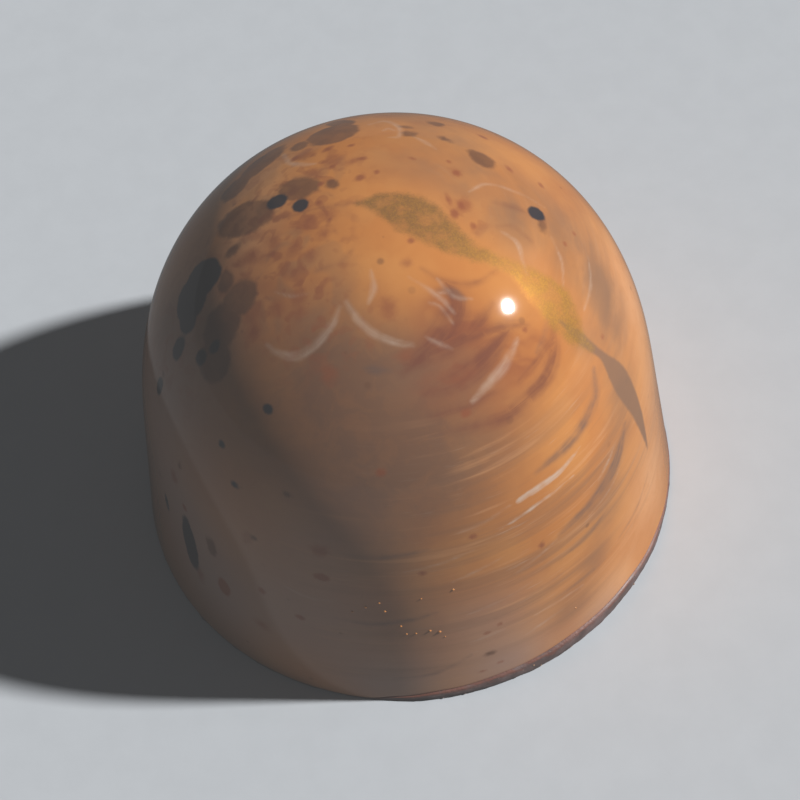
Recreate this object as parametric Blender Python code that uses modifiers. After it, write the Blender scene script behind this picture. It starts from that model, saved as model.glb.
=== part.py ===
"""A moulded chocolate praline: a tall painted dome that stands on its thin dark closing layer.

Metres, +Z up. The origin is the middle of the flat underside, so the praline stands on Z = 0.
"""

import math

import bpy

# The dome, whose side leans in a little so that it leaves its mould, then rounds over to the crown.
DOME_RADIUS = 0.0140  # where the dome's side would meet the table
HEIGHT = 0.0224  # the whole praline, from the table to the crown
SIDE_LEAN = 0.103  # how far the side leans in for each unit of height
SHOULDER_HEIGHT = 0.0077  # where the straight side starts to round over
CROWN_POWER = 3.0  # 2 would be an ellipse; more keeps the shoulder fuller
BOTTOM_EDGE_ROUND = 0.00012  # the small round on the dome's bottom edge

# The dark layer that closes the bottom. It was scraped level, which left an uneven lip.
LAYER_RADIUS = 0.01428
LAYER_THICKNESS = 0.0006
LAYER_EDGE_ROUND = 0.00024
LIP_WAVES = ((3, 0.00005, 0.6), (7, 0.00004, 2.1), (13, 0.00003, 4.0))  # count, height, start
JOINT_GAP = 0.0003  # between the layer and the dome that sits on it

TURN_STEPS = 96
SIDE_ROWS = 5
CROWN_ROWS = 24
ROUND_ROWS = 4


def clear_scene():
    """Removes every object that a new file holds."""
    for thing in list(bpy.data.objects):
        bpy.data.objects.remove(thing)


def make_material(name, colour, roughness, coat):
    """A plain food finish with a glossy coat."""
    material = bpy.data.materials.new(name)
    material.use_nodes = True
    surface = material.node_tree.nodes["Principled BSDF"]
    surface.inputs["Base Color"].default_value = (*colour, 1.0)
    surface.inputs["Roughness"].default_value = roughness
    surface.inputs["Metallic"].default_value = 0.0
    surface.inputs["Coat Weight"].default_value = coat
    material.diffuse_color = (*colour, 1.0)
    return material


def dome_radius_at(height):
    """The dome's outer radius at a height above the table."""
    leaning = DOME_RADIUS - SIDE_LEAN * height
    above = max(0.0, height - SHOULDER_HEIGHT) / (HEIGHT - SHOULDER_HEIGHT)
    return leaning * math.sqrt(max(0.0, 1.0 - above**CROWN_POWER))


def dome_profile():
    """The dome's outline at +X, from the crown down its outer side and in to the axis."""
    crown = []
    for row in range(CROWN_ROWS):
        turn = math.pi / 2 * (1 - row / CROWN_ROWS)
        height = SHOULDER_HEIGHT + (HEIGHT - SHOULDER_HEIGHT) * math.sin(turn)
        crown.append((dome_radius_at(height), height))
    bottom = LAYER_THICKNESS + JOINT_GAP
    round_top = bottom + BOTTOM_EDGE_ROUND
    side = []
    for row in range(SIDE_ROWS):
        height = SHOULDER_HEIGHT + (round_top - SHOULDER_HEIGHT) * row / SIDE_ROWS
        side.append((dome_radius_at(height), height))
    edge = quarter_round(dome_radius_at(round_top), bottom, BOTTOM_EDGE_ROUND, False)
    return crown + side + edge + [(0.0, bottom)]


def layer_profile():
    """The closing layer's outline at +X, from its top centre round its lip to the underside."""
    top = quarter_round(LAYER_RADIUS, LAYER_THICKNESS, LAYER_EDGE_ROUND, True)
    bottom = quarter_round(LAYER_RADIUS, 0.0, LAYER_EDGE_ROUND, False)
    return [(0.0, LAYER_THICKNESS)] + top + bottom + [(0.0, 0.0)]


def quarter_round(radius, level, size, on_top):
    """A rounded edge that ends at this radius and level, as points from its top down."""
    centre_height = level - size if on_top else level + size
    first_turn = math.pi / 2 if on_top else 0.0
    points = []
    for row in range(ROUND_ROWS + 1):
        turn = first_turn - math.pi / 2 * row / ROUND_ROWS
        points.append(
            (radius - size + size * math.cos(turn), centre_height + size * math.sin(turn))
        )
    return points


def turned_mesh(name, profile):
    """A closed mesh turned about Z from a profile, through a Screw modifier."""
    outline = bpy.data.meshes.new(name + "_outline")
    points = [(radius, 0.0, height) for radius, height in profile]
    edges = [(row, row + 1) for row in range(len(points) - 1)]
    outline.from_pydata(points, edges, [])
    guide = bpy.data.objects.new(name + "_outline", outline)
    bpy.context.scene.collection.objects.link(guide)
    screw = guide.modifiers.new("turn", "SCREW")
    screw.axis = "Z"
    screw.steps = TURN_STEPS
    screw.render_steps = TURN_STEPS
    screw.use_merge_vertices = True
    screw.merge_threshold = 0.00001
    screw.use_smooth_shade = True
    graph = bpy.context.evaluated_depsgraph_get()
    mesh = bpy.data.meshes.new_from_object(guide.evaluated_get(graph), depsgraph=graph)
    bpy.data.objects.remove(guide)
    mesh.name = name
    return mesh


def lip_wave(turn):
    """How far the scraped lip stands out or in at this turn about Z."""
    return sum(height * math.sin(count * turn + start) for count, height, start in LIP_WAVES)


def roughen_lip(mesh):
    """Moves the layer's rim in and out, so that its edge is uneven. The middle stays as it is."""
    rim_start = LAYER_RADIUS - 4 * LAYER_EDGE_ROUND
    for vertex in mesh.vertices:
        radius = math.hypot(vertex.co.x, vertex.co.y)
        if radius > rim_start:
            share = (radius - rim_start) / (LAYER_RADIUS - rim_start)
            wave = lip_wave(math.atan2(vertex.co.y, vertex.co.x)) * share
            vertex.co.x *= 1 + wave / radius
            vertex.co.y *= 1 + wave / radius


def add_part(name, mesh, material, collection):
    """Puts one solid of the praline in its collection, with smooth round faces."""
    mesh.materials.append(material)
    mesh.shade_smooth()
    mesh.set_sharp_from_angle(angle=math.radians(40))
    part = bpy.data.objects.new(name, mesh)
    collection.objects.link(part)
    return part


def main():
    clear_scene()
    praline = bpy.data.collections.new("chocolate_praline")
    bpy.context.scene.collection.children.link(praline)
    painted = make_material("painted_cocoa_butter", (0.58, 0.27, 0.10), 0.25, 1.0)
    dark = make_material("dark_chocolate", (0.10, 0.055, 0.048), 0.45, 0.2)
    layer_mesh = turned_mesh("closing_layer", layer_profile())
    roughen_lip(layer_mesh)
    add_part("painted_dome", turned_mesh("painted_dome", dome_profile()), painted, praline)
    add_part("closing_layer", layer_mesh, dark, praline)


main()
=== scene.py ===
"""Looks of a moulded chocolate praline: a glossy dome of marbled cocoa butter on a dark closing layer.

The shapes are in millimetres while they are worked out and in metres once they are meshes. A place on
the dome is a turn, in degrees to the right of the front, and a distance down the surface from the crown.
"""

import math

import bmesh
import bpy
import numpy as np
from mathutils import Matrix, Vector


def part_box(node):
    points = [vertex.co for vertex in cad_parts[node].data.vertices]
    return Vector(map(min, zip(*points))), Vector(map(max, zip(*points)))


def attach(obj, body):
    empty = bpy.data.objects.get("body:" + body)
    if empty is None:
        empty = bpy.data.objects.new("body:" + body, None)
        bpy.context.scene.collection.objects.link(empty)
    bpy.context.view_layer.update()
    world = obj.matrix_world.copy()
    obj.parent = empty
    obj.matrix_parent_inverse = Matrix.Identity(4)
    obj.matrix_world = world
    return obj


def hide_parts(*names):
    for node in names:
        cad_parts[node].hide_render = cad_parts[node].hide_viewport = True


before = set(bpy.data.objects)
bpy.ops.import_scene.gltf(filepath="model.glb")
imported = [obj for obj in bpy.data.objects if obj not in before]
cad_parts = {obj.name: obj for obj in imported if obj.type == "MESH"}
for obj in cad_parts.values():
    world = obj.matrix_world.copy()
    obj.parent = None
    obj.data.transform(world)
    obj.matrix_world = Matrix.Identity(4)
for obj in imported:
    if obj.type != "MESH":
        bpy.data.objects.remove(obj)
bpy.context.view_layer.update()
DOME_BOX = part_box("painted_dome")

bl_info = {
    "name": "Marbled Praline",
    "version": (1, 0, 0),
    "blender": (4, 5, 0),
    "location": "3D View > Sidebar > Praline",
    "description": "Builds a moulded praline with a marbled coat on a dark closing layer",
    "category": "Add Mesh",
}

MM = 0.001
BODY = "root"


# ---------------------------------------------------------------------------------------------------
# What is painted on the dome. Drops and smudges are (turn, down, half length, half width, lean): the
# length runs down the dome, and lean turns it anticlockwise as seen from outside. Strokes are lists
# of (turn, down, half width). Veils are (turn, down, radius, amount). Bubbles are (turn, down,
# radius). Turns and leans are in degrees, amounts are shares, and the rest is in mm.
# ---------------------------------------------------------------------------------------------------

BLACK_DROPS = (
    (-117, 5.3, 0.55, 0.46, 20), (-114, 3.9, 0.42, 0.4, 0), (95, 8.1, 0.48, 0.42, 10),
    (-90, 9.4, 1.3, 1.0, -10), (-86, 10.4, 1.2, 1.15, 0), (-81, 10.9, 0.7, 0.7, 0),
    (-77, 12.2, 0.7, 0.42, 10), (-68, 11.1, 0.42, 0.36, 0), (-66, 10.1, 0.36, 0.26, 0),
    (-77, 15.1, 0.55, 0.32, 0), (-59, 23.4, 2.05, 0.6, 6), (-69, 22.6, 0.62, 0.2, 8),
    (-40, 10.7, 0.24, 0.26, 0), (-50, 13.8, 0.22, 0.2, 0), (-44, 15.5, 0.18, 0.24, 0),
    (168, 11.5, 0.5, 0.42, 0), (-150, 14.0, 0.9, 0.55, 10), (140, 16.5, 0.6, 0.3, 0),
    (-120, 20.0, 1.4, 0.5, -8), (175, 22.0, 0.35, 0.3, 0),
)
BROWN_DROPS = (
    (-109, 6.9, 1.75, 1.1, 4), (-128, 4.6, 1.15, 0.75, 18), (160, 6.4, 0.34, 0.4, 0),
    (163, 7.2, 0.14, 0.3, 0), (-82, 8.0, 0.5, 0.6, 0), (-142, 3.1, 0.34, 0.28, 0),
    (-167, 7.4, 1.25, 1.35, 10), (-172, 8.8, 1.0, 0.6, 20), (-153, 7.6, 0.5, 0.48, 8),
    (-140, 8.8, 0.95, 1.5, 0), (-127, 9.0, 0.85, 0.95, 0), (126, 7.0, 0.55, 0.8, 0),
    (154, 8.5, 0.36, 0.4, 0), (145, 6.9, 0.18, 0.34, 0), (91, 8.3, 0.22, 0.5, 0),
    (-72, 7.6, 1.05, 0.85, 0), (-69, 9.2, 1.25, 1.05, 8), (-63, 10.6, 1.1, 1.0, 0),
    (-94, 7.4, 0.5, 0.26, 20), (12, 26.9, 0.2, 0.28, 0), (-51, 21.6, 0.7, 0.36, 6),
    (-62, 17.6, 0.24, 0.16, 0), (-38, 18.4, 0.16, 0.2, 0), (-30, 14.6, 0.14, 0.18, 0),
    (-140, 17.5, 0.8, 0.6, 0), (150, 13.0, 0.8, 0.55, 0), (-170, 17.0, 1.1, 0.7, 10),
    (120, 21.0, 0.7, 0.4, 0), (-105, 24.5, 0.9, 0.5, 0),
)
SMUDGES = (
    (96, 4.3, 0.34, 0.36, 10), (122, 4.9, 0.24, 0.26, 0), (-92, 3.3, 0.36, 0.26, 0),
    (-88, 5.0, 0.3, 0.42, 0), (-80, 2.6, 0.3, 0.2, 30), (-66, 3.6, 0.34, 0.3, 0),
    (-97, 6.2, 0.4, 0.2, -20), (-56, 6.4, 0.4, 0.34, 0), (-58, 8.0, 0.44, 0.3, 30),
    (-45, 5.9, 0.36, 0.24, 0), (-24, 8.2, 0.42, 0.36, 0), (0, 4.9, 0.45, 0.4, 0),
    (5, 7.3, 0.3, 0.44, 0), (-104, 2.4, 0.45, 0.3, 0), (-98, 3.1, 0.3, 0.4, 20),
    (-78, 4.1, 0.45, 0.3, 40), (-86, 6.4, 0.55, 0.4, 0), (-50, 5.4, 0.4, 0.4, 0),
    (-62, 7.4, 0.55, 0.4, 20), (-151, 6.4, 0.5, 0.4, 0), (-158, 4.6, 0.4, 0.55, 0),
    (-168, 4.0, 0.24, 0.5, 0), (-143, 4.6, 0.4, 0.36, 0), (22, 3.0, 0.16, 0.16, 0),
    (-40, 18.6, 0.3, 0.2, 0), (-64, 19.0, 0.4, 0.24, 0), (-22, 17.6, 0.4, 0.4, 0),
    (-56, 25.4, 0.5, 0.3, 0), (-38, 25.8, 0.3, 0.4, 0),
)
RUST_DROPS = (
    (-160, 5.8, 0.16, 0.3, 20), (-154, 4.2, 0.12, 0.22, 0), (-146, 6.6, 0.18, 0.26, 10),
    (-172, 5.4, 0.1, 0.14, 0), (-176, 4.0, 0.1, 0.18, 0), (174, 2.8, 0.12, 0.12, 0),
    (-138, 3.6, 0.12, 0.16, 0), (-118, 3.0, 0.14, 0.16, 30), (-96, 2.2, 0.1, 0.14, 0),
    (150, 4.2, 0.1, 0.14, 0), (-168, 2.6, 0.22, 0.24, 0), (42, 2.2, 0.15, 0.16, 0),
    (122, 4.9, 0.2, 0.22, 0), (88, 3.7, 0.2, 0.26, 0), (96, 4.1, 0.14, 0.2, 0),
    (80, 4.6, 0.12, 0.16, 0), (102, 3.6, 0.1, 0.3, 0), (118, 8.0, 0.1, 0.22, 0),
    (110, 9.4, 0.12, 0.16, 0), (92, 10.4, 0.12, 0.12, 0), (138, 9.2, 0.14, 0.26, 0),
    (86, 9.6, 0.1, 0.1, 0), (132, 5.2, 0.1, 0.12, 0), (66, 13.0, 0.12, 0.12, 0),
    (18, 10.6, 0.2, 0.24, 0), (27, 20.0, 0.22, 0.18, 0), (0, 19.0, 0.16, 0.2, 0),
    (12, 17.2, 0.14, 0.18, 0), (-7, 12.6, 0.18, 0.22, 0), (14, 28.0, 0.1, 0.12, 0),
    (10, 28.3, 0.08, 0.14, 0), (15, 24.7, 0.12, 0.12, 0), (12, 25.1, 0.08, 0.14, 0),
    (48, 9.0, 0.12, 0.12, 0), (-60, 20.5, 0.22, 0.18, 0), (-48, 24.5, 0.7, 0.42, 0),
    (-37, 22.6, 0.26, 0.22, 0), (-28, 23.6, 0.2, 0.24, 0), (-22, 19.6, 0.3, 0.4, 0),
)
GOLD_STROKE = (
    (-140, 1.1, 0.16), (160, 0.7, 0.7), (90, 1.5, 1.15), (70, 2.8, 1.05), (64, 3.9, 0.78),
    (63, 5.0, 0.52), (64, 6.1, 0.42), (65, 7.1, 0.52), (64, 8.3, 0.86), (63, 9.5, 1.1),
    (61, 10.6, 0.95), (60, 11.7, 0.52), (61, 12.6, 0.2),
)
TAIL_STROKE = (
    (59, 10.2, 0.1), (60, 11.6, 0.32), (61, 12.6, 0.26), (62, 13.6, 0.28), (62.5, 14.8, 0.62),
    (63, 16.0, 0.74), (64, 17.8, 0.58), (65, 20.0, 0.36), (66, 22.6, 0.04),
)
PALE_STROKES = (
    ((178, 7.6, 0.1), (172, 8.0, 0.16), (166, 7.1, 0.14), (164, 6.0, 0.12), (169, 5.8, 0.05)),
    ((172, 6.6, 0.05), (170, 6.9, 0.1), (167, 6.6, 0.05)),
    ((158, 6.2, 0.06), (151, 5.9, 0.12), (143, 5.6, 0.05)),
    ((-146, 7.8, 0.1), (-143, 6.5, 0.17), (-145, 5.6, 0.18), (-149, 5.1, 0.06)),
    (
        (-50, 8.1, 0.08), (-44, 8.1, 0.18), (-37, 7.8, 0.22), (-32, 7.0, 0.22), (-28, 5.9, 0.2),
        (-27, 5.0, 0.1),
    ),
    ((-24, 4.7, 0.14), (-15, 5.5, 0.2), (-7, 6.1, 0.2), (2, 6.6, 0.18), (8, 6.8, 0.1)),
    ((-11, 3.0, 0.06), (-8, 3.9, 0.18), (-11, 4.6, 0.08)),
    ((18, 3.7, 0.05), (26, 4.7, 0.12), (29, 5.4, 0.14), (30, 6.2, 0.05)),
    ((34, 4.4, 0.04), (34, 5.1, 0.09), (36, 5.7, 0.1), (41, 6.2, 0.04)),
    ((27, 4.9, 0.05), (31, 5.1, 0.08), (35, 5.2, 0.04)),
    ((22, 5.2, 0.04), (26, 5.6, 0.08), (27, 6.6, 0.04)),
    ((14, 6.6, 0.05), (18, 7.1, 0.14), (22, 7.6, 0.05)),
    ((44, 9.0, 0.1), (36, 9.5, 0.26), (29, 9.8, 0.28), (21, 10.2, 0.12)),
    ((81, 6.0, 0.04), (78, 6.8, 0.12), (72, 7.2, 0.14), (66, 7.7, 0.05)),
    ((86, 8.8, 0.04), (78, 9.4, 0.09), (70, 9.7, 0.04)),
    ((86, 11.2, 0.03), (77, 11.4, 0.1), (68, 11.3, 0.05)),
    ((106, 4.8, 0.03), (110, 6.0, 0.1), (104, 7.6, 0.08), (99, 8.8, 0.03)),
    ((22, 16.2, 0.05), (14, 16.6, 0.09), (7, 16.7, 0.04)),
    ((52, 18.1, 0.05), (49, 18.4, 0.13), (45, 18.8, 0.06)),
    ((55, 19.6, 0.03), (48, 20.3, 0.09), (40, 20.6, 0.04)),
    ((36, 25.5, 0.03), (29, 25.3, 0.1), (23, 25.3, 0.04)),
    ((30, 26.2, 0.03), (25, 26.3, 0.1), (20, 26.6, 0.04)),
    ((16, 25.3, 0.04), (11, 25.4, 0.09), (8, 25.5, 0.03)),
    ((18, 19.4, 0.03), (12, 19.7, 0.1), (6, 20.1, 0.04)),
    ((31, 20.3, 0.03), (26, 20.7, 0.1), (20, 21.1, 0.04)),
    ((12, 18.1, 0.03), (4, 18.5, 0.09), (-4, 18.8, 0.03)),
    ((24, 22.4, 0.03), (16, 22.8, 0.08), (8, 23.1, 0.03)),
    ((-31, 21.3, 0.04), (-26, 21.6, 0.09), (-20, 21.5, 0.03)),
    ((-47, 5.0, 0.03), (-54, 5.6, 0.08), (-62, 6.0, 0.03)),
    ((130, 12.0, 0.05), (140, 12.6, 0.18), (152, 12.6, 0.05)),
    ((-165, 11.0, 0.05), (-158, 12.4, 0.2), (-162, 13.8, 0.05)),
    ((170, 19.0, 0.05), (158, 19.6, 0.14), (146, 19.4, 0.05)),
    ((-130, 15.0, 0.05), (-121, 15.4, 0.16), (-112, 14.8, 0.05)),
)
BRIGHT_STROKES = (
    ((43, 15.8, 0.05), (36, 16.1, 0.17), (30, 16.1, 0.22), (24, 16.2, 0.16)),
    ((39, 17.0, 0.03), (32, 17.0, 0.1), (23, 17.2, 0.1), (18, 17.4, 0.03)),
)
RED_STROKES = (
    ((-105, 5.8, 0.22), (-105, 4.5, 0.16), (-110, 3.3, 0.13), (-122, 1.9, 0.14), (-148, 1.1, 0.1)),
    ((30, 3.6, 0.06), (35, 4.5, 0.14), (42, 5.3, 0.15), (50, 5.9, 0.13), (60, 6.3, 0.05)),
    ((83, 5.8, 0.04), (85, 6.7, 0.08), (81, 7.6, 0.04)),
    ((36, 4.8, 0.2), (34, 5.8, 0.55), (26, 6.5, 0.8), (14, 7.2, 0.6), (2, 8.0, 0.2)),
    ((46, 7.0, 0.1), (38, 7.2, 0.3), (30, 7.4, 0.3), (20, 7.8, 0.1)),
    ((60, 9.4, 0.1), (54, 10.3, 0.24), (46, 10.4, 0.24), (36, 10.6, 0.1)),
    ((38, 7.7, 0.2), (26, 7.5, 0.5), (14, 7.4, 0.5), (4, 7.6, 0.2)),
    ((56, 10.2, 0.16), (49, 11.0, 0.42), (41, 11.4, 0.46), (30, 11.5, 0.2)),
    ((41, 11.5, 0.1), (30, 11.7, 0.34), (20, 11.4, 0.34), (10, 11.1, 0.12)),
    ((44, 8.4, 0.16), (32, 8.7, 0.6), (20, 9.0, 0.6), (8, 9.1, 0.2)),
    ((50, 8.9, 0.1), (44, 8.2, 0.3), (34, 7.6, 0.2)),
    ((28, 10.3, 0.1), (19, 10.3, 0.3), (8, 10.2, 0.1)),
    ((-52, 3.9, 0.05), (-42, 3.1, 0.1), (-38, 2.2, 0.04)),
    ((98, 5.8, 0.04), (96, 7.0, 0.14), (92, 8.4, 0.05)),
    ((140, 14.0, 0.08), (152, 15.2, 0.3), (166, 15.6, 0.1)),
    ((-150, 19.0, 0.08), (-138, 19.6, 0.26), (-126, 19.2, 0.08)),
)
DARK_STROKES = (
    ((58, 9.5, 0.04), (52, 9.9, 0.14), (46, 10.2, 0.06)),
    ((57, 13.4, 0.16), (53, 14.4, 0.36), (46, 14.9, 0.42), (38, 15.1, 0.34), (30, 15.2, 0.1)),
    ((58, 17.8, 0.16), (53, 18.9, 0.5), (48, 19.5, 0.6), (42, 19.9, 0.55), (32, 20.1, 0.2)),
    ((-12, 7.7, 0.04), (-7, 7.7, 0.24), (-2, 7.8, 0.06)),
    ((30, 4.9, 0.08), (36, 5.4, 0.26), (38, 6.0, 0.1)),
    ((47, 21.4, 0.05), (40, 21.9, 0.18), (31, 22.1, 0.06)),
    ((43, 25.1, 0.04), (37, 25.0, 0.1), (30, 24.9, 0.11), (21, 24.9, 0.04)),
    ((36, 23.2, 0.03), (29, 23.3, 0.09), (22, 23.4, 0.03)),
    ((8, 26.6, 0.05), (3, 27.3, 0.1), (-2, 27.7, 0.12), (-9, 27.9, 0.05)),
    ((2, 17.4, 0.06), (-5, 17.6, 0.16), (-12, 17.7, 0.14), (-19, 17.4, 0.05)),
    ((2, 22.3, 0.06), (-4, 22.7, 0.2), (-12, 23.0, 0.18), (-20, 22.9, 0.05)),
    ((64, 24.0, 0.04), (56, 24.6, 0.12), (48, 24.8, 0.04)),
    ((-160, 21.0, 0.06), (-148, 22.0, 0.2), (-134, 22.0, 0.06)),
    ((130, 17.0, 0.06), (142, 18.4, 0.22), (156, 18.2, 0.08)),
)
RED_VEILS = (
    (28, 6.2, 1.3, 0.8), (33, 7.6, 1.3, 0.8), (24, 8.6, 1.6, 0.75), (40, 9.4, 1.3, 0.6),
    (44, 10.0, 1.6, 0.6), (30, 11.2, 1.6, 0.45), (14, 8.8, 1.5, 0.45), (18, 7.0, 1.2, 0.55),
    (30, 5.6, 0.8, 0.5), (-85, 6.0, 2.4, 0.45), (-60, 6.5, 2.2, 0.3), (-110, 3.5, 1.6, 0.3),
    (110, 12.0, 2.0, 0.3), (170, 15.0, 3.0, 0.5),
)
# Brown veils: brown paint that ran into the ground, which on the middle of the front and on the left is
# also painted shade.
BROWN_AND_SHADE_VEILS = (
    (90, 11.2, 1.2, 0.45), (80, 13.0, 1.2, 0.45), (158, 3.9, 2.0, 0.35), (130, 5.6, 2.4, 0.55),
    (150, 7.0, 2.4, 0.5), (105, 6.0, 2.3, 0.75), (88, 7.4, 1.9, 0.65), (97, 9.8, 2.2, 0.55),
    (82, 11.2, 2.2, 0.75), (72, 13.4, 2.0, 0.7), (62, 15.6, 1.6, 0.6), (56, 17.6, 1.6, 0.5),
    (60, 11.9, 0.9, 0.35), (165, 9.5, 2.0, 0.3), (35, 26.1, 1.4, 0.4), (4, 8.0, 1.5, 0.65),
    (16, 7.8, 1.3, 0.6), (24, 9.4, 1.2, 0.4), (-70, 10.0, 1.8, 0.75), (-88, 12.5, 2.2, 0.6),
    (48, 19.6, 1.3, 0.5), (46, 21.8, 1.3, 0.45), (40, 24.2, 1.3, 0.5), (30, 26.8, 1.0, 0.35),
    (-8, 17.6, 1.6, 0.3), (-8, 22.9, 1.8, 0.35),
)
# Painted shade: darker cocoa laid on the front and left of the coat, where a band of shade falls across the
# dome.
PAINTED_SHADE_VEILS = (
    (-30, 7.4, 2.6, 0.76), (-20, 10.0, 2.2, 0.45), (-10, 8.0, 2.3, 0.68), (2, 10.0, 3.0, 0.88),
    (-8, 12.8, 3.2, 0.7), (8, 13.8, 3.2, 0.66), (24, 12.4, 2.0, 0.3), (-33, 5.0, 1.6, 0.3),
    (10, 7.9, 1.9, 0.55), (26, 8.6, 1.6, 0.35), (-6, 8.8, 2.3, 0.5), (-18, 9.6, 3.0, 0.55),
    (-40, 11.5, 3.8, 0.55), (-68, 13.0, 4.5, 0.5), (-4, 12.2, 3.0, 0.5), (10, 10.6, 2.0, 0.3),
    (-12, 16.5, 3.4, 0.4), (-25, 21.0, 4.5, 0.35), (-50, 24.0, 5.0, 0.3),
)
# Painted light: paler peach on the upper left, where the key light reaches further round, and on the lower
# right, a painted reflection of the bright floor in the gloss.
PAINTED_LIGHT_VEILS = (
    (-112, 6.8, 1.9, 0.6), (-96, 6.6, 1.7, 0.45), (-132, 7.2, 1.6, 0.4), (74, 7.6, 1.0, 0.25),
    (88, 15.5, 3.2, 0.75), (82, 20.5, 3.4, 0.75), (66, 25.0, 3.0, 0.8), (46, 28.2, 1.8, 0.6),
    (-8, 29.0, 2.2, 0.3),
)
# Painted reflection: grey laid towards the foot on the front and left of the coat, where the pale floor
# shows in the gloss on the shaded side.
PAINTED_REFLECTION_VEILS = (
    (-80, 10.5, 3.2, 0.3), (-75, 15.5, 4.0, 0.5), (-62, 20.5, 4.5, 0.55), (-50, 25.5, 4.5, 0.6),
    (-20, 24.0, 5.0, 0.45), (-10, 28.5, 3.0, 0.65), (15, 28.5, 3.0, 0.6), (-25, 17.0, 4.0, 0.3),
    (12, 24.0, 3.0, 0.35), (38, 29.0, 2.0, 0.35), (-100, 22.0, 6.0, 0.5),
)
MOTTLE_VEILS = (
    (-105, 5.5, 3.2, 1.0), (-145, 5.0, 2.4, 0.8), (-72, 5.0, 2.6, 1.0), (-45, 6.0, 2.4, 0.9),
    (-20, 6.0, 1.6, 0.5), (85, 4.4, 1.2, 0.6), (-80, 12.0, 4.0, 0.5), (170, 14.0, 5.0, 0.8),
)
STREAK_VEILS = (
    (20, 15.5, 4.5, 0.9), (45, 18.5, 4.5, 1.0), (30, 23.5, 5.0, 0.9), (62, 22.0, 4.0, 0.6),
    (85, 12.5, 3.5, 0.5), (95, 8.0, 2.5, 0.45), (125, 6.0, 2.2, 0.4), (-10, 19.0, 4.5, 0.45),
    (-10, 26.0, 4.0, 0.45), (160, 20.0, 8.0, 0.8), (-120, 24.0, 6.0, 0.5),
)
AIR_BUBBLES = (
    (-5, 23.9, 0.07), (-3, 23.9, 0.07), (0, 23.8, 0.09), (2, 24.0, 0.1), (3, 24.5, 0.05),
    (-6, 23.2, 0.08), (6, 20.7, 0.08), (-1, 21.0, 0.06), (-13, 21.6, 0.1), (-9, 21.9, 0.09),
    (-10, 21.2, 0.08), (-16, 22.1, 0.08), (33, 26.9, 0.06), (150, 24.5, 0.08), (153, 24.6, 0.06),
    (-160, 26.0, 0.08), (-100, 25.0, 0.07),
)
DROPS = {
    "black_drops": BLACK_DROPS,
    "brown_drops": BROWN_DROPS,
    "rust_drops": RUST_DROPS,
    "smudges": SMUDGES,
}
STROKES = {
    "gold_stroke": (GOLD_STROKE,),
    "tail_stroke": (TAIL_STROKE,),
    "pale_strokes": PALE_STROKES,
    "bright_strokes": BRIGHT_STROKES,
    "red_strokes": RED_STROKES,
    "dark_strokes": DARK_STROKES,
}
VEILS = {
    "red_veil": RED_VEILS,
    "brown_and_shade_veil": BROWN_AND_SHADE_VEILS,
    "painted_shade_veil": PAINTED_SHADE_VEILS,
    "painted_light_veil": PAINTED_LIGHT_VEILS,
    "painted_reflection_veil": PAINTED_REFLECTION_VEILS,
    "mottled": MOTTLE_VEILS,
    "streaked": STREAK_VEILS,
}
FAR_OUTSIDE = -2.0  # mm, the least that a paint field holds
STROKE_STEPS = 16  # between two points of a stroke
THINNEST_STROKE = 0.01  # mm
UNDERSIDE_RING = 1.0  # mm, how wide the outer ring of a piece's underside is

# Heights of the paint's lower edge above the table, as (turn, height). It dips to the table at one
# place on the front, where the closing layer's lip starts.
PAINT_EDGE = (
    (-180, 0.5), (-150, 0.34), (-125, 0.12), (-80, 0.08), (-34, 0.06), (-20, 0.04), (-15, 0.05),
    (-8, 0.34), (2, 0.58), (16, 0.8), (32, 0.98), (46, 0.9), (60, 0.6), (74, 0.24), (90, 0.12),
    (140, 0.3),
)
# How far the closing layer's lip stands out from the paint, as (turn, distance).
LIP_REACH = (
    (-180, 0.14), (-150, 0.06), (-125, -0.05), (-60, -0.08), (-20, -0.07), (-13, 0.02), (0, 0.14),
    (30, 0.22), (58, 0.16), (74, 0.05), (90, 0.02), (140, 0.08),
)


# ---------------------------------------------------------------------------------------------------
# Settings
# ---------------------------------------------------------------------------------------------------


def size_property(name, description, default):
    return bpy.props.FloatProperty(
        name=name, description=description, default=default, unit="LENGTH", subtype="DISTANCE", precision=5
    )


def angle_property(name, description, degrees):
    return bpy.props.FloatProperty(
        name=name,
        description=description,
        default=math.radians(degrees),
        unit="ROTATION",
        subtype="ANGLE",
    )


def colour_property(name, description, default):
    return bpy.props.FloatVectorProperty(
        name=name, description=description, default=default, size=3, min=0.0, max=1.0, subtype="COLOR"
    )


def share_property(name, description, default):
    return bpy.props.FloatProperty(
        name=name, description=description, default=default, min=0.0, max=1.0, subtype="FACTOR"
    )


class PralineShape(bpy.types.PropertyGroup):
    """Sizes of the dome and its closing layer."""

    height: size_property("Height", "From the table to the crown", DOME_BOX[1].z)
    foot_radius: size_property("Foot radius", "Where the dome's side would meet the table", 0.0140)
    shoulder: size_property("Shoulder height", "Where the straight side starts to round over", 0.0077)
    lean: bpy.props.FloatProperty(
        name="Side lean", description="How far the side leans in for each unit of height", default=0.103
    )
    crown_power: bpy.props.FloatProperty(
        name="Crown power", description="2 is an ellipse, and more keeps the shoulder fuller", default=3.0
    )
    edge_round: size_property("Edge round", "The small round on the paint's lower edge", 0.00010)
    rim_ragged: size_property("Rim raggedness", "How uneven the scraped rim is", 0.000022)


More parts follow.
